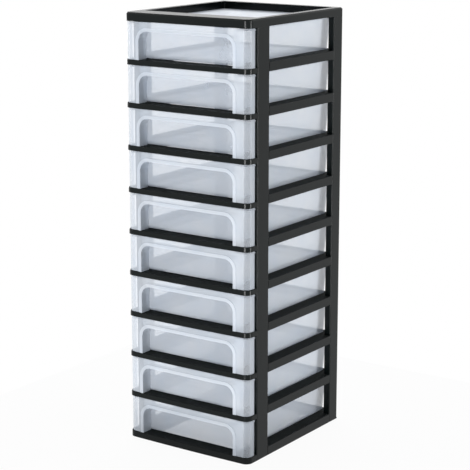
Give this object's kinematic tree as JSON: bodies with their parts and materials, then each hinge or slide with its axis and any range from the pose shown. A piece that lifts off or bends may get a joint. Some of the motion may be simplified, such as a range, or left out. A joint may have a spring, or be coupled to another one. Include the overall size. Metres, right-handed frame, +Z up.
{
  "type": "drawer tower",
  "caption": "Tall free-standing storage tower: clear sliding drawers with arched finger recesses in a black moulded frame with open sides and a sunken tray top.",
  "frame": {"origin": "centre of the footprint, on the floor", "axes": "+Z up along the tower's height; -Y is the front, towards which the drawers open; +X to the right seen from the front"},
  "size_m": [0.3, 0.34, 0.88],
  "materials": {
    "black_plastic": "satin, finely grained black moulding",
    "clear_plastic": "glossy clear to slightly frosted moulding"
  },
  "bodies": {
    "frame": {"base_frame": "black_plastic", "shelf_frame_01": "black_plastic", "shelf_frame_02": "black_plastic", "shelf_frame_03": "black_plastic", "shelf_frame_04": "black_plastic", "shelf_frame_05": "black_plastic", "shelf_frame_06": "black_plastic", "shelf_frame_07": "black_plastic", "shelf_frame_08": "black_plastic", "shelf_frame_09": "black_plastic", "top_frame": "black_plastic", "top_panel": "clear_plastic", "front_left_post": "black_plastic", "front_right_post": "black_plastic", "rear_left_post": "black_plastic", "rear_right_post": "black_plastic"},
    "drawer_01": {"drawer_01": "clear_plastic"},
    "drawer_02": {"drawer_02": "clear_plastic"},
    "drawer_03": {"drawer_03": "clear_plastic"},
    "drawer_04": {"drawer_04": "clear_plastic"},
    "drawer_05": {"drawer_05": "clear_plastic"},
    "drawer_06": {"drawer_06": "clear_plastic"},
    "drawer_07": {"drawer_07": "clear_plastic"},
    "drawer_08": {"drawer_08": "clear_plastic"},
    "drawer_09": {"drawer_09": "clear_plastic"},
    "drawer_10": {"drawer_10": "clear_plastic"}
  },
  "joints": [
    {"name": "drawer_01_slide", "type": "slide", "parent": "frame", "child": "drawer_01", "axis": [0, -1, 0], "range_m": [0, 0.26]},
    {"name": "drawer_02_slide", "type": "slide", "parent": "frame", "child": "drawer_02", "axis": [0, -1, 0], "range_m": [0, 0.26]},
    {"name": "drawer_03_slide", "type": "slide", "parent": "frame", "child": "drawer_03", "axis": [0, -1, 0], "range_m": [0, 0.26]},
    {"name": "drawer_04_slide", "type": "slide", "parent": "frame", "child": "drawer_04", "axis": [0, -1, 0], "range_m": [0, 0.26]},
    {"name": "drawer_05_slide", "type": "slide", "parent": "frame", "child": "drawer_05", "axis": [0, -1, 0], "range_m": [0, 0.26]},
    {"name": "drawer_06_slide", "type": "slide", "parent": "frame", "child": "drawer_06", "axis": [0, -1, 0], "range_m": [0, 0.26]},
    {"name": "drawer_07_slide", "type": "slide", "parent": "frame", "child": "drawer_07", "axis": [0, -1, 0], "range_m": [0, 0.26]},
    {"name": "drawer_08_slide", "type": "slide", "parent": "frame", "child": "drawer_08", "axis": [0, -1, 0], "range_m": [0, 0.26]},
    {"name": "drawer_09_slide", "type": "slide", "parent": "frame", "child": "drawer_09", "axis": [0, -1, 0], "range_m": [0, 0.26]},
    {"name": "drawer_10_slide", "type": "slide", "parent": "frame", "child": "drawer_10", "axis": [0, -1, 0], "range_m": [0, 0.26]}
  ]
}
